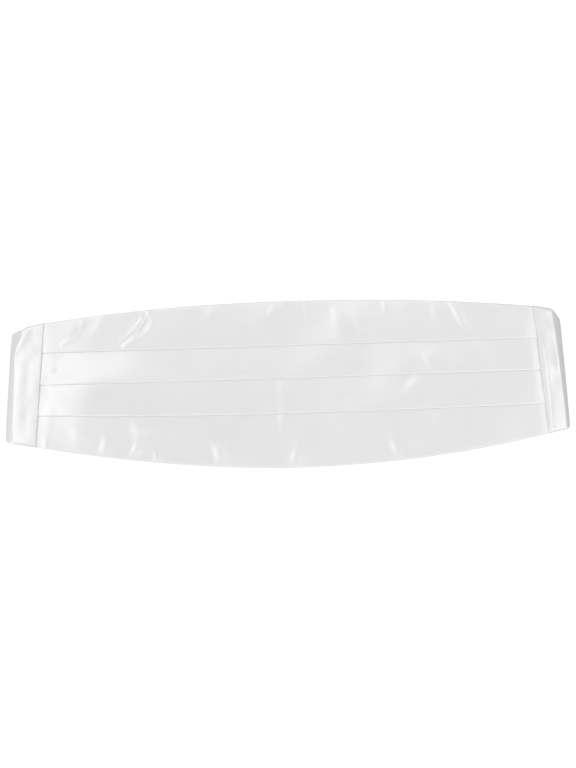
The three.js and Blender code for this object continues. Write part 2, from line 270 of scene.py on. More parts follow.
@dataclass
class Centreline:
    """A line across the cloth, drawn from one end to the other in runs and turns."""

    points: list[tuple[float, float]] = field(default_factory=list)

    def start(self, across: float, height: float) -> None:
        """Puts down the first point."""
        self.points.append((across, height))

    def run(self, across: float, height: float, steps: int, puff: float = 0.0) -> None:
        """Runs on to a point.

        Args:
            across: Where the point lies across the cloth.
            height: How high it lies.
            steps: How many steps the run takes.
            puff: How far the run's middle rises above a straight line.
        """
        from_across, from_height = self.points[-1]
        for share in np.arange(1, steps + 1) / steps:
            rise = 4.0 * puff * share * (1.0 - share)
            up = from_height + (height - from_height) * share + rise
            self.points.append((from_across + (across - from_across) * share, up))

    def turn(self, across: float, height: float, reach: float, rise: float, begin: float,
             sweep: float, steps: int, bluntness: float = 1.0) -> None:
        """Turns on part of an ellipse from the last point, which lies at its beginning.

        Args:
            across: Where its centre lies across the cloth.
            height: Where its centre lies above the base.
            reach: Its half width.
            rise: Its half height.
            begin: The angle that it starts from.
            sweep: The angle that it turns through.
            steps: How many steps it takes.
            bluntness: 1 for an ellipse, and more for one that leans in sooner.
        """
        for step in range(1, steps + 1):
            angle = begin + sweep * step / steps
            ahead, up = math.cos(angle), math.sin(angle)
            ahead = math.copysign(abs(ahead) ** bluntness, ahead)
            up = math.copysign(abs(up) ** bluntness, up)
            self.points.append((across + reach * ahead, height + rise * up))

    def array(self) -> Array:
        """Its points as an array, one to a row."""
        return np.array(self.points)

    def lengths(self) -> Array:
        """How far along the line each point lies."""
        gaps = np.linalg.norm(np.diff(self.array(), axis=0), axis=1)
        return np.concatenate(([0.0], np.cumsum(gaps)))


def smoothstep(value: Array, low: float, high: float) -> Array:
    """A smooth step from 0 at low to 1 at high."""
    share = np.clip((value - low) / (high - low), 0.0, 1.0)
    return share * share * (3.0 - 2.0 * share)


def select_only(piece: bpy.types.Object) -> None:
    """Makes a piece the only one that is selected and active.

    Args:
        piece: The piece.
    """
    bpy.ops.object.select_all(action="DESELECT")
    piece.select_set(True)
    bpy.context.view_layer.objects.active = piece


def apply_modifiers(piece: bpy.types.Object) -> None:
    """Applies all of a piece's modifiers in their order.

    Args:
        piece: The piece.
    """
    select_only(piece)
    for modifier in list(piece.modifiers):
        bpy.ops.object.modifier_apply(modifier=modifier.name)


def round_edges(piece: bpy.types.Object, width: float, segments: int, angle: float) -> None:
    """Rounds a piece's sharp edges.

    Args:
        piece: The piece.
        width: How far the rounding reaches from each edge.
        segments: How many facets it has.
        angle: Edges sharper than this are rounded.
    """
    rounding = piece.modifiers.new("rounding", "BEVEL")
    rounding.width = width
    rounding.segments = segments
    rounding.limit_method = "ANGLE"
    rounding.angle_limit = angle
    apply_modifiers(piece)


def cloth_sheet(name: str, columns: int, rows: int,
                place: Callable[[Array, Array], tuple[Array, Array]]) -> bpy.types.Object:
    """Lays out a grid and moves each of its points to its place in the shaped cloth.

    Args:
        name: The piece's name.
        columns: Points along the cloth.
        rows: Points across the cloth.
        place: Gives, for a column's and a row's number, the place and the flat cloth's place.

    Returns:
        The sheet, whose UV map holds the flat cloth's places in metres.
    """
    bpy.ops.object.select_all(action="DESELECT")
    bpy.ops.mesh.primitive_grid_add(x_subdivisions=columns - 1, y_subdivisions=rows - 1, size=1.0)
    sheet = bpy.context.object
    sheet.name = sheet.data.name = name
    mesh = sheet.data
    grid = np.empty(len(mesh.vertices) * 3)
    mesh.vertices.foreach_get("co", grid)
    grid = grid.reshape(-1, 3) + 0.5
    column = np.rint(grid[:, 0] * (columns - 1)).astype(int)
    row = np.rint(grid[:, 1] * (rows - 1)).astype(int)
    places, cloth = place(column, row)
    mesh.vertices.foreach_set("co", places.ravel())
    corners = np.empty(len(mesh.loops), dtype=int)
    mesh.loops.foreach_get("vertex_index", corners)
    mesh.uv_layers.active.name = CLOTH_UV
    mesh.uv_layers.active.data.foreach_set("uv", cloth[corners].ravel())
    mesh.update()
    return sheet


def thicken(sheet: bpy.types.Object, thickness: float, merge: float = 0.0) -> None:
    """Gives a sheet its thickness, half to each side, after closing it where its edges meet.

    Args:
        sheet: The sheet.
        thickness: The cloth's thickness.
        merge: Points closer than this are made one first, or none where it is 0.
    """
    select_only(sheet)
    if merge:
        bpy.ops.object.mode_set(mode="EDIT")
        bpy.ops.mesh.select_all(action="SELECT")
        bpy.ops.mesh.remove_doubles(threshold=merge)
        bpy.ops.object.mode_set(mode="OBJECT")
    wall = sheet.modifiers.new("thickness", "SOLIDIFY")
    wall.thickness = thickness
    wall.offset = 0.0
    apply_modifiers(sheet)
    bpy.ops.object.mode_set(mode="EDIT")
    bpy.ops.mesh.select_all(action="SELECT")
    bpy.ops.mesh.normals_make_consistent(inside=False)
    bpy.ops.object.mode_set(mode="OBJECT")
    bpy.ops.object.shade_smooth()


def hand_over(piece: bpy.types.Object, slot: Slot, material: bpy.types.Material, *nodes: str) -> None:
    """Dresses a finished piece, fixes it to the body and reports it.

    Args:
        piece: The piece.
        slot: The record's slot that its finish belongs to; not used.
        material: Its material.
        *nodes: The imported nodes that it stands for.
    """
    piece.data.materials.clear()
    piece.data.materials.append(material)
    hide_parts(*nodes)
    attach(piece, BODY)
    triangles = sum(len(polygon.vertices) - 2 for polygon in piece.data.polygons)
    LOG.info("%s: %d triangles", piece.name, triangles)


class Nodes:
    """A node tree, with ways to add nodes to it and to feed their inputs."""

    def __init__(self, tree: bpy.types.NodeTree) -> None:
        """Takes the tree."""
        self.tree = tree

    def feed(self, node: bpy.types.Node, inputs: dict[str | int, object]) -> None:
        """Sets or links some of a node's inputs.

        Args:
            node: The node.
            inputs: For each input, by its name or number, a value or the socket that leads to it.
        """
        for key, value in inputs.items():
            if isinstance(value, bpy.types.NodeSocket):
                self.tree.links.new(value, node.inputs[key])
            else:
                node.inputs[key].default_value = value

    def add(self, kind: str, inputs: dict[str | int, object] | None = None,
            **settings: object) -> bpy.types.Node:
        """Adds a node.

        Args:
            kind: Its type.
            inputs: What its inputs are fed, as feed takes it.
            **settings: The node's own settings.

        Returns:
            The node.
        """
        made = self.tree.nodes.new(kind)
        for key, value in settings.items():
            setattr(made, key, value)
        self.feed(made, inputs or {})
        return made

    def camera_sees(self, rest: bpy.types.NodeSocket, seen: bpy.types.NodeSocket,
                    output: bpy.types.Node) -> None:
        """Shows the camera another shader than the one that light falls on.

        Args:
            rest: The shader for all other rays.
            seen: The shader that the camera sees.
            output: The tree's output node.
        """
        path = self.add("ShaderNodeLightPath")
        choice = self.add("ShaderNodeMixShader", {0: path.outputs["Is Camera Ray"], 1: rest, 2: seen})
        self.feed(output, {"Surface": choice.outputs[0]})


class ShaderGroup(Nodes):
    """A shader node group with named inputs and outputs, built once."""

    def __init__(self, name: str, inputs: dict[str, tuple[str, float | None]],
                 outputs: dict[str, str]) -> None:
        """Makes the group and its sockets.

        Args:
            name: The group's name.
            inputs: For each input, its socket type and default.
            outputs: For each output, its socket type.
        """
        super().__init__(bpy.data.node_groups.new(name, "ShaderNodeTree"))
        for label, (kind, default) in inputs.items():
            socket = self.tree.interface.new_socket(label, in_out="INPUT", socket_type=kind)
            if default is not None:
                socket.default_value = default
        for label, kind in outputs.items():
            self.tree.interface.new_socket(label, in_out="OUTPUT", socket_type=kind)
        self.source = self.add("NodeGroupInput").outputs
        self.sink = self.add("NodeGroupOutput")

    def math(self, operation: str, *values: float | bpy.types.NodeSocket) -> bpy.types.NodeSocket:
        """Works out a Math node's result from a number or a socket for each of its inputs."""
        return self.add("ShaderNodeMath", dict(enumerate(values)), operation=operation).outputs[0]

    def thread(self, place: bpy.types.NodeSocket, pitch: str) -> bpy.types.NodeSocket:
        """Lays threads side by side.

        Args:
            place: The place across the threads.
            pitch: The group's input that holds the way from thread to thread.

        Returns:
            Their height, from 0 between two threads to 1 on a thread.
        """
        turns = self.math("DIVIDE", place, self.source[pitch])
        wave = self.math("SINE", self.math("MULTIPLY", turns, 2 * math.pi))
        return self.math("MULTIPLY_ADD", wave, 0.5, 0.5)


def weave_group() -> bpy.types.NodeTree:
    """Builds the threads that cross each other.

    Returns:
        The group, which gives their height from 0 to 1 over the flat cloth.
    """
    sockets = {
        "Cloth": ("NodeSocketVector", None),
        "Warp pitch": ("NodeSocketFloat", 0.0003),
        "Weft pitch": ("NodeSocketFloat", 0.0003),
        "Float": ("NodeSocketFloat", 0.5),
    }
    group = ShaderGroup("thread_weave", sockets, {"Height": "NodeSocketFloat"})
    place = group.add("ShaderNodeSeparateXYZ", {0: group.source["Cloth"]}).outputs
    threads = {
        0: group.source["Float"],
        MIX_FLOAT_A: group.thread(place["X"], "Warp pitch"),
        MIX_FLOAT_B: group.thread(place["Y"], "Weft pitch"),
    }
    blend = group.add("ShaderNodeMix", threads, data_type="FLOAT")
    group.feed(group.sink, {"Height": blend.outputs[0]})
    return group.tree


@dataclass(frozen=True)
class Unevenness:
    """One noise of handled cloth: the group's output and its scale's input, and its texture."""

    output: str
    scale: str
    detail: float
    roughness: float


SLUBS = Unevenness("Height", "Pucker scale", detail=3.0, roughness=0.45)
CLOUDS = Unevenness("Cloud", "Cloud scale", detail=2.0, roughness=0.5)


def handling_group() -> bpy.types.NodeTree:
    """Builds the fine slubs and the softer unevenness of handled cloth.

    Returns:
        The group, which gives a height and a mask, each from 0 to 1.
    """
    sockets = {
        "Place": ("NodeSocketVector", None),
        "Pucker scale": ("NodeSocketFloat", 60.0),
        "Cloud scale": ("NodeSocketFloat", 12.0),
    }
    outputs = {"Height": "NodeSocketFloat", "Cloud": "NodeSocketFloat"}
    group = ShaderGroup("handled_cloth", sockets, outputs)
    for part in (SLUBS, CLOUDS):
        texture = {
            "Vector": group.source["Place"],
            "Scale": group.source[part.scale],
            "Detail": part.detail,
            "Roughness": part.roughness,
        }
        group.feed(group.sink, {part.output: group.add("ShaderNodeTexNoise", texture).outputs[0]})
    return group.tree


def new_material(name: str) -> tuple[bpy.types.Material, Nodes, bpy.types.Node]:
    """Makes a material.

    Args:
        name: Its name.

    Returns:
        The material, its nodes and its Principled shader.
    """
    made = bpy.data.materials.new(name)
    made.use_nodes = True
    return made, Nodes(made.node_tree), made.node_tree.nodes["Principled BSDF"]


@dataclass(frozen=True)
class ClothFinish:
    """A woven cloth's finish: satin where its threads float long, webbing where they show."""

    name: str
    shade: tuple[float, float, float]
    dull_shade: tuple[float, float, float]
    roughness: float
    specular: float
    lustre: float
    sheen: float
    warp_pitch: float
    weft_pitch: float
    thread_float: float
    thread_depth: float
    pucker_scale: float
    pucker_depth: float
    sheen_roughness: float = 0.4
    unevenness: float = 0.04

    def material(self, weave: bpy.types.NodeTree, handling: bpy.types.NodeTree) -> bpy.types.Material:
        """Builds the cloth's material.

        Args:
            weave: The group of crossing threads.
            handling: The group of slubs and clouds.

        Returns:
            The material.
        """
        made, nodes, shader = new_material(self.name)
        weaving = {
            "Cloth": nodes.add("ShaderNodeUVMap", uv_map=CLOTH_UV).outputs[0],
            "Warp pitch": self.warp_pitch,
            "Weft pitch": self.weft_pitch,
            "Float": self.thread_float,
        }
        threads = nodes.add("ShaderNodeGroup", weaving, node_tree=weave).outputs["Height"]
        wear = {
            "Place": nodes.add("ShaderNodeTexCoord").outputs["Object"],
            "Pucker scale": self.pucker_scale,
        }
        handled = nodes.add("ShaderNodeGroup", wear, node_tree=handling).outputs
        shades = {
            0: handled["Cloud"],
            MIX_COLOUR_A: (*self.dull_shade, 1.0),
            MIX_COLOUR_B: (*self.shade, 1.0),
        }
        gloss = {
            "Value": handled["Height"],
            "To Min": self.roughness - self.unevenness,
            "To Max": self.roughness + self.unevenness,
        }
        pucker = nodes.add("ShaderNodeBump", {"Height": handled["Height"], "Distance": self.pucker_depth})
        grain = {"Height": threads, "Distance": self.thread_depth, "Normal": pucker.outputs[0]}
        look = {
            "Base Color": nodes.add("ShaderNodeMix", shades, data_type="RGBA").outputs[MIX_COLOUR],
            "Roughness": nodes.add("ShaderNodeMapRange", gloss).outputs[0],
            "Normal": nodes.add("ShaderNodeBump", grain).outputs[0],
            "Specular IOR Level": self.specular,
            "Metallic": self.lustre,
            "Sheen Weight": self.sheen,
            "Sheen Roughness": self.sheen_roughness,
        }
        nodes.feed(shader, look)
        return made


@dataclass(frozen=True)
class MetalFinish:
    """Bright plated metal with the fine, drawn-out marks of its polishing."""

    name: str
    shade: tuple[float, float, float]
    roughness: float
    mark_scale: float
    mark_depth: float
    mark_stretch: float = 0.05
    mark_detail: float = 4.0
    smoother: float = 0.06
    rougher: float = 0.08

    def material(self) -> bpy.types.Material:
        """Builds the metal's material.

        Returns:
            The material.
        """
        made, nodes, shader = new_material(self.name)
        stretch = {
            "Vector": nodes.add("ShaderNodeTexCoord").outputs["Object"],
            "Scale": (self.mark_scale * self.mark_stretch, self.mark_scale, self.mark_scale),
        }
        texture = {
            "Vector": nodes.add("ShaderNodeMapping", stretch).outputs[0],
            "Scale": 1.0,
            "Detail": self.mark_detail,
        }
        marks = nodes.add("ShaderNodeTexNoise", texture).outputs[0]
        gloss = {
            "Value": marks,
            "To Min": self.roughness - self.smoother,
            "To Max": self.roughness + self.rougher,
        }
        relief = {"Height": marks, "Distance": self.mark_depth}
        look = {
            "Base Color": (*self.shade, 1.0),
            "Metallic": 1.0,
            "Roughness": nodes.add("ShaderNodeMapRange", gloss).outputs[0],
            "Normal": nodes.add("ShaderNodeBump", relief).outputs[0],
        }
        nodes.feed(shader, look)
        return made


FRONT_SATIN = ClothFinish(
    name="front_satin",
    shade=(0.808, 0.808, 0.808),
    dull_shade=(0.788, 0.788, 0.788),
    roughness=0.3,
    specular=0.5,
    lustre=0.35,
    sheen=0.05,
    warp_pitch=0.00035,
    weft_pitch=0.00022,
    thread_float=0.25,
    thread_depth=0.000012,
    pucker_scale=90.0,
    pucker_depth=0.00012,
)
# The tabs' satin is the front's satin with its weave turned across. Its shade and dull shade are a little
# lighter than the front's, as painted sheen for the tabs' brighter gloss.
TAB_SATIN_WITH_PAINTED_SHEEN = replace(
    FRONT_SATIN,
    name="tab_satin_with_painted_sheen",
    shade=(0.815, 0.815, 0.815),
    dull_shade=(0.795, 0.795, 0.795),
    warp_pitch=0.00022,
    weft_pitch=0.00035,
    thread_float=0.75,
    pucker_scale=110.0,
    pucker_depth=0.00018,
)
STRAP_WEBBING = ClothFinish(
    name="strap_webbing",
    shade=(0.74, 0.74, 0.73),
    dull_shade=(0.70, 0.70, 0.69),
    roughness=0.8,
    specular=0.3,
    lustre=0.0,
    sheen=0.25,
    warp_pitch=0.0008,
    weft_pitch=0.0016,
    thread_float=0.5,
    thread_depth=0.00018,
    pucker_scale=160.0,
    pucker_depth=0.00004,
)
CLASP_PLATE = MetalFinish(
    name="clasp_plate",
    shade=(0.66, 0.66, 0.67),
    roughness=0.26,
    mark_scale=900.0,
    mark_depth=0.000004,
)


@dataclass
class Band:
    """Sizes that the sub-assemblies share, and where the band's own middle lies in the frame."""

    length: float = 0.381
    middle_height: float = 0.127
    packed_top: float = 0.05806
    seam_lean: float = math.radians(5.5)
    fold_height: float = 0.016
    origin: Vector = field(default_factory=Vector)

    def find_origin(self) -> None:
        """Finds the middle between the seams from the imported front's box and the strap's floor."""
        low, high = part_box("pleated_front")
        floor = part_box("left_strap")[0][2]
        self.origin = Vector(((low[0] + high[0]) / 2, high[1] - self.packed_top, floor))

    def place(self, x: Array, y: Array, z: Array) -> Array:
        """Places given from the band's own middle, in the frame."""
        return np.stack((x + self.origin.x, y + self.origin.y, z + self.origin.z), axis=-1)


@dataclass(frozen=True)
class FrontLine:
    """An edge or a fold along the front: its height at the left seam, the middle and the right seam.

    Heights are in millimetres. The powers shape its fall to each side.
    """

    left: float
    middle: float
    right: float
    left_power: float
    right_power: float

    def height(self, station: Array) -> Array:
        """Works out its height.

        Args:
            station: Places along the band, from -1 at the left seam to 1 at the right one.

        Returns:
            The height at each place, in metres.
        """
        left = self.left + (self.middle - self.left) * (1.0 - np.abs(station) ** self.left_power)
        right = self.right + (self.middle - self.right) * (1.0 - np.abs(station) ** self.right_power)
        return np.where(station < 0, left, right) * MM


# The upper edge, the three folds and the lower edge
FRONT_LINES_MM = (
    FrontLine(47.1, 58.5, 48.9, 2.1, 2.1),
    FrontLine(24.4, 24.4, 24.4, 2.0, 2.0),
    FrontLine(0.0, -0.5, 0.0, 2.0, 2.0),
    FrontLine(-23.5, -27.5, -25.9, 2.0, 2.0),
    FrontLine(-47.0, -68.8, -48.4, 1.75, 2.1),
)


@dataclass
class PleatedFront:
    """One sheet of satin in four knife pleats, tucked into the tabs at its ends."""

    band: Band
    cloth: float = 0.0004
    pitch: float = 0.00056
    pinch: float = 0.5
    pinch_width: float = 0.010
    underlap: float = 0.010
    hem: float = 0.007
    tuck: float = 0.0055
    tuck_taper: float = 0.05
    tuck_taper_run: float = 0.002
    edge_droop: float = 0.0004
    base_middle: float = 0.0049
    base_end: float = 0.0137
    fold_roll: float = 0.0009
    fold_bluntness: float = 1.5
    inner_roll: float = 0.00022
    hem_roll: float = 0.0009
    face_puff: float = 0.00005
    last_face_puff: float = 0.00007
    seam_hold: float = 0.010
    seam_give: float = 0.0005
    seam_dip: float = 0.0002
    seam_dip_width: float = 0.0028
    face_steps: tuple[int, ...] = (27, 21, 21)
    last_face_steps: int = 30
    fold_steps: int = 8
    inner_steps: int = 3
    hem_steps: int = 5
    lap_steps: int = 2
    columns: int = 300
    creased_columns: float = 0.46
    creased_end: float = -0.5
    calm_from: float = 0.95
    calm_to: float = 0.995
    ripple: Ripple = Ripple(seed=5, height=0.0002, shortest=0.014, longest=0.06)

    def lines(self, station: Array) -> Array:
        """Heights of the edges and folds, from the top down, at stations from seam to seam."""
        return np.stack([line.height(station) for line in FRONT_LINES_MM], axis=-1)

    def knots(self, station: Array) -> Array:
        """Works out the heights between which the folded sheet stretches evenly.

        Args:
            station: Places along the band, from -1 at the left seam to 1 at the right one.

        Returns:
            The heights at each place, from the bottom up.
        """
        top, first, second, third, bottom = np.moveaxis(self.lines(station), -1, 0)
        lap = self.underlap
        rows = (bottom, bottom + self.hem, third, third + lap, second, second + lap, first, first + lap)
        return np.stack((*rows, top - self.hem, top), axis=-1)

    def section(self) -> Centreline:
        """Draws the folded sheet across the middle of the band.

        Returns:
            Its centreline, from the upper hem to the lower one.
        """
        half = self.pitch / 2
        low, mid, high = (self.cloth + layer * self.pitch for layer in range(3))
        top, *folds, bottom = self.lines(np.array(0.0))
        rim = top - self.cloth / 2 - self.hem_roll
        line = Centreline()
        line.start(top - self.hem, low)
        line.run(rim, low, self.lap_steps)
        line.turn(rim, low + half, self.hem_roll, half, DOWN, HALF_TURN, self.hem_steps)
        for fold, steps in zip(folds, self.face_steps):
            outer = fold + self.cloth / 2 + self.fold_roll
            inner = fold + self.underlap - self.cloth / 2 - self.inner_roll
            line.run(outer, high, steps, self.face_puff)
            line.turn(outer, mid + half, self.fold_roll, half, UP, HALF_TURN, self.fold_steps,
                      self.fold_bluntness)
            line.run(inner, mid - half + self.inner_roll, self.lap_steps)
            line.turn(inner, mid - half, self.inner_roll, self.inner_roll, UP, -HALF_TURN,
                      self.inner_steps)
            line.run(fold, low, self.lap_steps)
        rim = bottom + self.cloth / 2 + self.hem_roll
        line.run(rim, mid, self.last_face_steps, self.last_face_puff)
        line.turn(rim, low + half, self.hem_roll, half, UP, HALF_TURN, self.hem_steps)
        line.run(bottom + self.hem, low, self.lap_steps)
        return line

    def stations(self) -> Array:
        """Places the columns along the band, closer together where it is creased most.

        Returns:
            Each column's way from the band's middle.
        """
        steps = np.linspace(0.0, 1.0, self.columns)
        shares = np.interp(steps, (0.0, self.creased_columns, 1.0), (-1.0, self.creased_end, 1.0))
        return shares * (self.band.length / 2 + self.tuck)

    def base(self, part: Array, y: Array) -> Array:
        """Works out how high the sheet lies.

        Args:
            part: Shares of the way from the band's middle to a seam.
            y: Places across the band.

        Returns:
            The height of its underside at each place.
        """
        rise = (self.base_end - self.base_middle) * smoothstep(part, 0.0, 1.0)
        droop = self.edge_droop * (1.0 - part**2) * (y / (self.band.middle_height / 2)) ** 2
        return self.base_middle + rise - droop

    def pressed(self, height: Array, from_seam: Array) -> Array:
        """Presses the layers together where the seams hold them.

        Args:
            height: Heights above the underside of the loose sheet.
            from_seam: Distances from the nearer seam.

        Returns:
            The heights above the underside of the pressed sheet.
        """
        crest = self.cloth + 2 * self.pitch
        pinch = self.pinch * np.exp(-((np.maximum(from_seam, 0.0) / self.pinch_width) ** 2))
        return crest - (crest - height) * (1.0 - pinch)

    def relief(self, x: Array, y: Array, part: Array, from_seam: Array) -> Array:
        """Works out the creases and ripples, and the dip beside each seam.

        Args:
            x: Places along the band.
            y: Places across the band.
            part: Shares of the way from the band's middle to a seam.
            from_seam: Distances from the nearer seam.

        Returns:
            The lift at each place.
        """
        calm = smoothstep(part, self.calm_from, self.calm_to)
        lift = crease_field(x, y, FRONT_CREASES_MM) + self.ripple.lift(x, y) * (1.0 - calm)
        dip = self.seam_dip * np.exp(-((from_seam / self.seam_dip_width) ** 2))
        return lift * smoothstep(from_seam, -self.seam_give, self.seam_hold) - dip

    def place(self, column: Array, row: Array) -> tuple[Array, Array]:
        """Places the sheet's points.

        Args:
            column: Each point's number along the band.
            row: Each point's number across the sheet.

        Returns:
            The places, and the flat cloth's places.
        """
        line = self.section()
        half_length = self.band.length / 2
        stations = self.stations()
        inside = np.minimum(np.abs(stations), half_length)
        share = inside / half_length
        knots = self.knots(np.sign(stations) * share)
        middle_knots = self.knots(np.array(0.0))
        across, height = line.array().T
        spread = np.stack([np.interp(across, middle_knots, station) for station in knots])

        station, tucked = stations[column], (np.abs(stations) - inside)[column]
        side, inner, part = np.sign(station), inside[column], share[column]
        taper = self.tuck_taper * smoothstep(tucked, 0.0, self.tuck_taper_run)
        y = spread[column, row] * (1.0 - taper)
        lean = self.band.seam_lean * part
        x_out = side * (inner + tucked * np.cos(lean) - y * np.sin(lean))
        y_out = y * np.cos(lean) + tucked * np.sin(lean)
        from_seam = half_length - np.abs(station)
        z_out = self.base(part, y) + self.pressed(height[row], from_seam)
        z_out = z_out + self.relief(x_out, y_out, part, from_seam)
        cloth = np.stack((station, line.lengths()[row]), axis=-1)
        return self.band.place(x_out, y_out, z_out), cloth

    def build(self, material: bpy.types.Material) -> None:
        """Makes the pleated sheet and dresses it.

        Args:
            material: Its material.
        """
        line = self.section()
        rows = len(line.points)
        front = cloth_sheet("pleated_satin_front", self.columns, rows, self.place)
        thicken(front, self.cloth)
        hand_over(front, Slot.SATIN, material, "pleated_front")
        flat = (self.band.length + 2 * self.tuck, float(line.lengths()[-1]))


@dataclass(frozen=True)
class TabRow:
    """One station along a tab: how far its upper and lower edges lie from its axis, in millimetres."""

    along: float
    top: float
    bottom: float


@dataclass(frozen=True)
class TurnRow:
    """Where a tab's face starts to turn down, and how far out it reaches, in millimetres."""

    height: float
    start: float
    reach: float


@dataclass
class EndTab:
    """A flat sleeve of satin that holds the pleats' ends, folds under and takes the strap."""

    band: Band
    side: Side
    reach: float
    outline: tuple[TabRow, ...]
    turn_line: tuple[TurnRow, ...]
    creases: tuple[Crease, ...]
    cloth: float = 0.0006
    wall: float = 0.001
    length: float = 0.095
    thread_width: float = 0.045
    mouth_pocket: float = 0.0024
    mouth_from: float = 0.0063
    mouth_to: float = 0.014
    closed_pocket: float = 0.0004
    strap_pocket: float = 0.0018
    strap_insert: float = 0.018
    strap_taper: float = 0.008
    edge_roll: float = 0.0005
    lip: float = 0.00005
    lip_width: float = 0.0008
    crispness: float = 1.3
    columns: int = 150
    lip_columns: float = 0.03
    lip_run: float = 0.0015
    face_columns: float = 0.36
    turn_columns: float = 0.74
    face_rows: int = 56
    back_rows: int = 30
    edge_rows: int = 5
    width_samples: int = 60
    merge: float = 0.00001
    ripple: Ripple = Ripple(seed=11, height=0.00016, shortest=0.009, longest=0.03)

    @property
    def radius(self) -> float:
        """Half the height of the turn under the band."""
        return self.band.fold_height / 2

    @property
    def straight(self) -> float:
        """Length of the sleeve up to its turn."""
        return self.reach - self.radius

    @property
    def turned(self) -> float:
        """Length of the sleeve up to the end of its turn."""
        return self.straight + math.pi * self.radius

    def halves(self, distance: Array) -> tuple[Array, Array]:
        """Works out the sleeve's outline.

        Args:
            distance: Distances along the sleeve, from its mouth.

        Returns:
            How far the upper and the lower edge lie from the axis at each.
        """
        along = np.array([row.along for row in self.outline]) * MM
        top = np.array([row.top for row in self.outline]) * MM
        bottom = np.array([row.bottom for row in self.outline]) * MM
        return np.interp(distance, along, top), np.interp(distance, along, bottom)

    def pocket(self, distance: Array) -> Array:
        """Works out the clear height between the sleeve's two sides.

        Args:
            distance: Distances along the sleeve, from its mouth.

        Returns:
            The height at each.
        """
        sewn = self.length - self.strap_insert
        mouth = 1.0 - smoothstep(distance, self.mouth_from, self.mouth_to)
        tail = smoothstep(distance, sewn - self.strap_taper, sewn)
        for_pleats = (self.mouth_pocket - self.closed_pocket) * mouth
        for_strap = (self.strap_pocket - self.closed_pocket) * tail
        return self.closed_pocket + for_pleats + for_strap

    def loop(self) -> tuple[Array, Array]:
        """Draws the sleeve's section.

        Returns:
            Its points across, from -1 to 1, and their depth, from 0 outside to 1 on the inner side.
        """
        face = np.linspace(-1.0, 1.0, self.face_rows)
        back = np.linspace(1.0, -1.0, self.back_rows)
        turn = np.linspace(0.0, math.pi, self.edge_rows + 2)[1:-1]
        depth = (1.0 - np.cos(turn)) / 2
        edge = 1.0 + np.sin(turn)
        across = np.concatenate((face, edge, back, -edge, face[:1]))
        sides = (np.zeros(self.face_rows), depth, np.ones(self.back_rows), depth[::-1], [0.0])
        return across, np.concatenate(sides)

    def bend(self, distance: Array, v: Array) -> tuple[Array, Array, Array]:
        """Turns the sleeve's outer side down at its end and under the band.

        Args:
            distance: Distances along the sleeve, from its mouth.
            v: Distances up from its axis.

        Returns:
            How far out from the seam and how high each point lies, and the angle turned through.
        """
        heights = [turn.height * MM for turn in self.turn_line]
        starts = np.interp(v, heights, [turn.start * MM for turn in self.turn_line])
        reaches = np.interp(v, heights, [turn.reach * MM for turn in self.turn_line])
        angle = np.clip((distance - self.straight) / self.radius, 0.0, math.pi)
        over = angle <= math.pi / 2
        centre = np.where(over, starts, self.straight)
        power = 2.0 / self.crispness
        outwards = np.where(over, np.sin(angle) ** power, np.sin(angle))
        upwards = np.where(over, np.abs(np.cos(angle)) ** power, np.cos(angle))
        face = distance / self.straight * starts
        u = np.where(distance <= self.straight, face, centre + (reaches - centre) * outwards)
        u = u - np.maximum(distance - self.turned, 0.0)
        return u, self.radius + self.radius * upwards, angle

    def place(self, column: Array, row: Array) -> tuple[Array, Array]:
        """Places the sleeve's points.

        Args:
            column: Each point's number along the tab, from its mouth.
            row: Each point's number round its section.

        Returns:
            The places, and the flat cloth's places.
        """
        shares = (0.0, self.lip_columns, self.face_columns, self.turn_columns, 1.0)
        stops = (0.0, self.lip_run, self.straight, self.turned, self.length)
        distance = np.interp(np.linspace(0.0, 1.0, self.columns), shares, stops)[column]
        across, depths = (values[row] for values in self.loop())
        top, bottom = self.halves(distance)
        half = np.where(across > 0, top, bottom) - self.cloth / 2 - self.edge_roll
        beyond = np.clip(np.abs(across) - 1.0, 0.0, 1.0)
        v = np.sign(across) * (half * np.minimum(np.abs(across), 1.0) + self.edge_roll * beyond)
        u, z, angle = self.bend(distance, v)

        thickness = 2 * self.wall + self.pocket(distance)
        depth = self.cloth / 2 + depths * (thickness - self.cloth)
        face = (depths < 0.5) & (distance < self.reach)
        fade = 1.0 - smoothstep(distance, self.straight, self.reach)
        lift = (crease_field(u, v, self.creases) + self.ripple.lift(u, v)) * fade
        lip = self.lip * np.exp(-((distance / self.lip_width) ** 2))
        depth = depth + np.where(face, lip - lift, 0.0)
        u = u - np.sin(angle) * depth
        z = z - np.cos(angle) * depth

        lean = self.band.seam_lean
        x_out = self.side.value * (self.band.length / 2 + u * math.cos(lean) - v * math.sin(lean))
        y_out = v * math.cos(lean) + u * math.sin(lean)
        widths = np.abs(np.diff(self.loop()[0], prepend=-1.0))
        around = np.cumsum(widths)[row] * self.thread_width
        return self.band.place(x_out, y_out, z), np.stack((distance, around), axis=-1)

    def build(self, material: bpy.types.Material) -> None:
        """Makes the sleeve and dresses it.

        Args:
            material: Its material.
        """
        name = self.side.name.lower()
        rows = len(self.loop()[0])
        tab = cloth_sheet(f"{name}_satin_tab", self.columns, rows, self.place)
        thicken(tab, self.cloth, merge=self.merge)
        hand_over(tab, Slot.SATIN, material, f"{name}_end_tab")


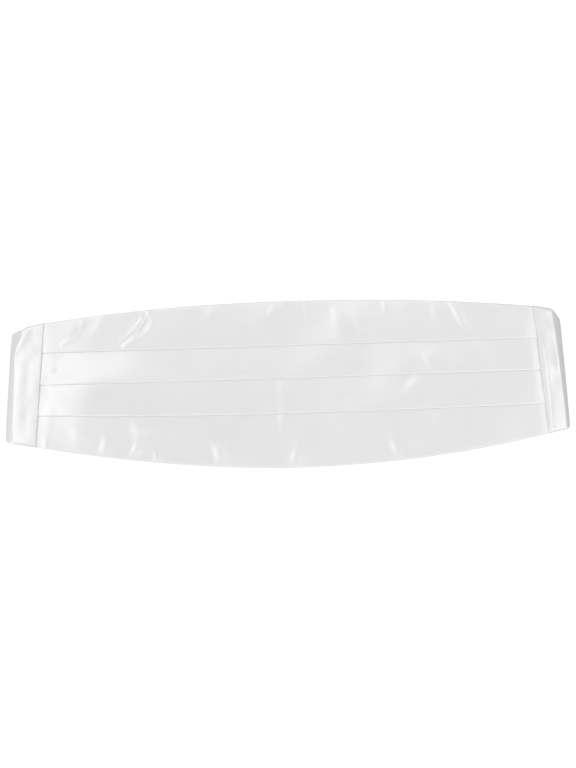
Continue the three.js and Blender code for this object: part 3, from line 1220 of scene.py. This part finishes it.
# The hidden tails, alike at both ends, and then each tab from its mouth outwards
TAIL_OUTLINE_MM = (
    TabRow(52.0, 25.2, 28.2),
    TabRow(68.0, 18.2, 18.8),
    TabRow(75.0, 17.3, 17.3),
    TabRow(95.0, 17.3, 17.3),
)
LEFT_OUTLINE_MM = (
    TabRow(0.0, 47.3, 47.3),
    TabRow(6.8, 45.3, 46.5),
    TabRow(12.0, 43.4, 45.9),
    TabRow(16.0, 41.3, 45.7),
    TabRow(20.7, 40.4, 45.3),
    TabRow(24.0, 38.8, 45.2),
    TabRow(28.6, 37.0, 43.8),
    TabRow(38.0, 32.5, 36.8),
    *TAIL_OUTLINE_MM,
)
RIGHT_OUTLINE_MM = (
    TabRow(0.0, 49.1, 48.7),
    TabRow(4.0, 47.9, 48.1),
    TabRow(9.0, 46.0, 47.4),
    TabRow(12.6, 45.0, 47.2),
    TabRow(14.8, 43.6, 46.9),
    TabRow(18.1, 40.1, 46.5),
    TabRow(21.1, 37.3, 45.8),
    TabRow(23.6, 36.2, 45.0),
    TabRow(38.0, 30.0, 36.8),
    *TAIL_OUTLINE_MM,
)
LEFT_TURN_MM = (
    TurnRow(-46.0, 17.4, 24.0),
    TurnRow(-31.0, 18.2, 24.6),
    TurnRow(3.0, 19.3, 24.8),
    TurnRow(22.0, 20.4, 24.8),
    TurnRow(29.0, 18.8, 24.8),
    TurnRow(36.5, 15.4, 24.6),
    TurnRow(41.0, 15.8, 24.2),
    TurnRow(44.0, 16.8, 23.8),
)
RIGHT_TURN_MM = (
    TurnRow(-47.0, 13.6, 17.3),
    TurnRow(-20.0, 13.9, 18.4),
    TurnRow(10.0, 14.0, 19.3),
    TurnRow(30.0, 13.6, 19.9),
    TurnRow(44.0, 13.0, 19.9),
)
LEFT_TAB_REACH = 0.024
RIGHT_TAB_REACH = 0.019


@dataclass
class Strap:
    """Half of the adjustable strap: woven elastic, sewn back on itself round the clasp's bar."""

    band: Band
    side: Side
    tail: float
    width: float = 0.032
    edge_margin: float = 0.0004
    thickness: float = 0.0011
    rounding: float = 0.00033
    rounding_segments: int = 2
    sharp: float = math.radians(60)
    room: float = 0.0012
    layer_gap: float = 0.0003
    insert: float = 0.0175
    tab_height: float = 0.0013
    sewn_return: float = 0.018
    ramp: float = 0.010
    ramp_from: float = 0.014
    ramp_to: float = 0.004
    rise: float = 0.0004
    bar_inner: float = 0.009
    bar_outer: float = 0.012
    bar_gap: float = 0.003
    bar_clearance: float = 0.0003
    clasp_centre: float = 0.0023
    loop_radius: float = 0.0017
    return_steps: int = 8
    climb_steps: int = 5
    loop_steps: int = 10
    run_steps: int = 60
    ramp_steps: int = 6
    tail_steps: int = 8
    rows: int = 15

    def line(self) -> Centreline:
        """Draws the strap's middle along its length.

        Returns:
            The line, from the end of the sewn return to the end in the tab.
        """
        floor = self.room / 2
        in_tab = self.tab_height + self.room / 2
        on_strap = floor + self.room + self.layer_gap
        over_bar = self.clasp_centre + self.loop_radius
        line = Centreline()
        line.start(self.bar_outer + self.sewn_return, on_strap)
        line.run(self.bar_outer + 2 * self.bar_gap, on_strap, self.return_steps)
        line.run(self.bar_outer + self.bar_clearance, over_bar, self.climb_steps)
        line.turn(self.bar_inner, self.clasp_centre, self.loop_radius, self.loop_radius, UP, HALF_TURN,
                  self.loop_steps)
        line.run(self.tail - self.ramp_from, floor, self.run_steps, self.rise)
        line.run(self.tail - self.ramp_to, in_tab, self.ramp_steps)
        line.run(self.tail + self.insert * math.cos(self.band.seam_lean), in_tab, self.tail_steps)
        return line

    def route(self, x: Array) -> tuple[Array, Array]:
        """Leads the strap from the clasp to the lean of the tab.

        Args:
            x: Distances from the clasp's middle.

        Returns:
            Where the strap's middle lies across the band at each, and its slope there.
        """
        half_length, slope = self.band.length / 2, math.tan(self.band.seam_lean)
        level = -half_length / 2 * slope
        start = self.bar_outer + self.sewn_return + self.ramp
        run = self.tail - start
        rise = (self.tail - half_length) * slope - level
        t = np.clip((x - start) / run, 0.0, 1.0)
        y = level + rise * t**2 * (3 - 2 * t) + run * slope * t**2 * (t - 1)
        tilt = rise / run * 6 * t * (1 - t) + slope * t * (3 * t - 2)
        past = x >= self.tail
        return np.where(past, (x - half_length) * slope, y), np.where(past, slope, tilt)

    def place(self, column: Array, row: Array) -> tuple[Array, Array]:
        """Places the strap's points.

        Args:
            column: Each point's number along the strap.
            row: Each point's number across it.

        Returns:
            The places, and the flat webbing's places.
        """
        line = self.line()
        x, z = line.array().T
        middle, slope = self.route(x)
        angle = np.arctan(slope)
        aside = (row / (self.rows - 1) - 0.5) * (self.width - self.edge_margin)
        x_out = x[column] - aside * np.sin(angle[column])
        y_out = middle[column] + aside * np.cos(angle[column])
        places = self.band.place(self.side.value * x_out, y_out, z[column])
        return places, np.stack((aside, line.lengths()[column]), axis=-1)

    def build(self, material: bpy.types.Material) -> None:
        """Makes the strap and dresses it.

        Args:
            material: Its material.
        """
        name = self.side.name.lower()
        line = self.line()
        strap = cloth_sheet(f"{name}_webbing_strap", len(line.points), self.rows, self.place)
        thicken(strap, self.thickness)
        round_edges(strap, self.rounding, self.rounding_segments, self.sharp)
        hand_over(strap, Slot.WEBBING, material, f"{name}_strap")
        flat = (float(line.lengths()[-1]), self.width)


LEFT_STRAP_TAIL = 0.1528
RIGHT_STRAP_TAIL = 0.1429


@dataclass
class Clasp:
    """The plain plate with two slots that closes the strap, with its edges rounded."""

    rounding: float = 0.00035
    rounding_segments: int = 3
    sharp: float = math.radians(40)
    flat: float = math.radians(1)
    merge: float = 0.000001

    def build(self, material: bpy.types.Material) -> None:
        """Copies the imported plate, cleans it and rounds its edges.

        Args:
            material: Its material.
        """
        packed = bpy.data.objects["clasp"]
        plate = bpy.data.objects.new("clasp_slotted_plate", packed.data.copy())
        bpy.context.collection.objects.link(plate)
        select_only(plate)
        bpy.ops.object.mode_set(mode="EDIT")
        bpy.ops.mesh.select_all(action="SELECT")
        bpy.ops.mesh.remove_doubles(threshold=self.merge)
        bpy.ops.mesh.dissolve_limited(angle_limit=self.flat)
        bpy.ops.object.mode_set(mode="OBJECT")
        round_edges(plate, self.rounding, self.rounding_segments, self.sharp)
        bpy.ops.object.shade_smooth_by_angle(angle=self.sharp)
        hand_over(plate, Slot.METAL, material, "clasp")


@dataclass(frozen=True)
class Softbox:
    """A square softbox that faces the band.

    Its azimuth is measured from +X towards +Y and its elevation from the floor, both in degrees. Its
    power is in watts.
    """

    name: str
    azimuth: float
    elevation: float
    power: float
    size: float
    distance: float = 1.6

    def hang(self) -> None:
        """Hangs it at its place and turns it to the band."""
        data = bpy.data.lights.new(self.name, "AREA")
        data.energy = self.power
        data.size = self.size
        light = bpy.data.objects.new(self.name, data)
        turn, height = math.radians(self.azimuth), math.radians(self.elevation)
        flat = math.cos(height)
        away = Vector((flat * math.cos(turn), flat * math.sin(turn), math.sin(height)))
        light.location = away * self.distance
        light.rotation_euler = away.to_track_quat("Z", "Y").to_euler()
        bpy.context.collection.objects.link(light)


SOFTBOXES = (
    Softbox("lower_light", azimuth=-80.0, elevation=52.0, power=2.8, size=1.15),
    Softbox("right_light", azimuth=-14.0, elevation=55.5, power=4.8, size=1.15),
    Softbox("upper_light", azimuth=105.0, elevation=58.0, power=4.2, size=1.15),
    Softbox("left_light", azimuth=186.0, elevation=60.0, power=3.3, size=0.95),
    Softbox("left_card", azimuth=207.0, elevation=12.0, power=9.5, size=0.9),
)


@dataclass
class Studio:
    """The pale floor, the soft lights and the camera above the band."""

    band: Band
    photo_width: int = 576
    photo_height: int = 768
    pixels_per_metre: float = 1315.0
    band_middle_px: tuple[float, float] = (290.5, 377.65)
    roll: float = math.radians(1.795)
    focus_height: float = 0.013
    lens: float = 60.0
    sensor: float = 24.0
    floor_size: float = 6.0
    floor_drop: float = 0.0005
    floor_shade: tuple[float, float, float] = (0.6, 0.6, 0.6)
    floor_roughness: float = 0.9
    floor_specular: float = 0.1
    surround: float = 0.535
    backdrop: float = 1.05

    def camera(self) -> None:
        """Puts the camera straight above, turned as the photograph is."""
        data = bpy.data.cameras.new("camera")
        data.lens = self.lens
        data.sensor_fit = "VERTICAL"
        data.sensor_height = self.sensor
        distance = self.photo_height / self.pixels_per_metre * self.lens / self.sensor
        right = (self.photo_width / 2 - self.band_middle_px[0]) / self.pixels_per_metre
        up = (self.band_middle_px[1] - self.photo_height / 2) / self.pixels_per_metre
        turn = Matrix.Rotation(-self.roll, 3, "Z")
        middle = Vector((self.band.origin.x, self.band.origin.y, self.focus_height))
        camera = bpy.data.objects.new("camera", data)
        camera.location = middle + turn @ Vector((right, up, distance))
        camera.rotation_euler = (0.0, 0.0, -self.roll)
        bpy.context.collection.objects.link(camera)
        bpy.context.scene.camera = camera

    def floor(self) -> None:
        """Lays the floor, which the camera sees as pale as a lit backdrop."""
        bpy.ops.object.select_all(action="DESELECT")
        bpy.ops.mesh.primitive_plane_add(size=self.floor_size, location=(0.0, 0.0, -self.floor_drop))
        floor = bpy.context.object
        floor.name = "floor"
        made, nodes, matt = new_material("pale_floor")
        look = {
            "Base Color": (*self.floor_shade, 1.0),
            "Roughness": self.floor_roughness,
            "Specular IOR Level": self.floor_specular,
        }
        nodes.feed(matt, look)
        bright = nodes.add("ShaderNodeEmission", {"Strength": self.backdrop})
        nodes.camera_sees(matt.outputs[0], bright.outputs[0], made.node_tree.nodes["Material Output"])
        floor.data.materials.append(made)

    def room(self) -> None:
        """Sets the room's own light, and the pale wall that the camera sees."""
        world = bpy.data.worlds.new("room")
        bpy.context.scene.world = world
        world.use_nodes = True
        nodes = Nodes(world.node_tree)
        light = world.node_tree.nodes["Background"]
        white = {"Color": (1.0, 1.0, 1.0, 1.0)}
        nodes.feed(light, white | {"Strength": self.surround})
        wall = nodes.add("ShaderNodeBackground", white | {"Strength": self.backdrop})
        nodes.camera_sees(light.outputs[0], wall.outputs[0], world.node_tree.nodes["World Output"])
        bpy.context.scene.view_settings.view_transform = "Standard"

    def build(self) -> None:
        """Sets up the whole studio."""
        self.camera()
        self.floor()
        for softbox in SOFTBOXES:
            softbox.hang()
        self.room()


def main() -> None:
    """Builds the studio and then the band's pieces in their order."""
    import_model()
    band = Band()
    band.find_origin()
    Studio(band).build()

    weave, handling = weave_group(), handling_group()
    front_satin = FRONT_SATIN.material(weave, handling)
    tab_satin_with_painted_sheen = TAB_SATIN_WITH_PAINTED_SHEEN.material(weave, handling)
    webbing = STRAP_WEBBING.material(weave, handling)
    plating = CLASP_PLATE.material()

    left, right = Side.LEFT, Side.RIGHT
    left_tab = EndTab(band, left, LEFT_TAB_REACH, LEFT_OUTLINE_MM, LEFT_TURN_MM, LEFT_TAB_CREASES_MM)
    right_tab = EndTab(band, right, RIGHT_TAB_REACH, RIGHT_OUTLINE_MM, RIGHT_TURN_MM, RIGHT_TAB_CREASES_MM)
    PleatedFront(band).build(front_satin)
    left_tab.build(tab_satin_with_painted_sheen)
    right_tab.build(tab_satin_with_painted_sheen)
    Strap(band, left, LEFT_STRAP_TAIL).build(webbing)
    Strap(band, right, RIGHT_STRAP_TAIL).build(webbing)
    Clasp().build(plating)


if __name__ == "__main__":
    logging.basicConfig(level=logging.INFO, format="%(message)s")
    main()
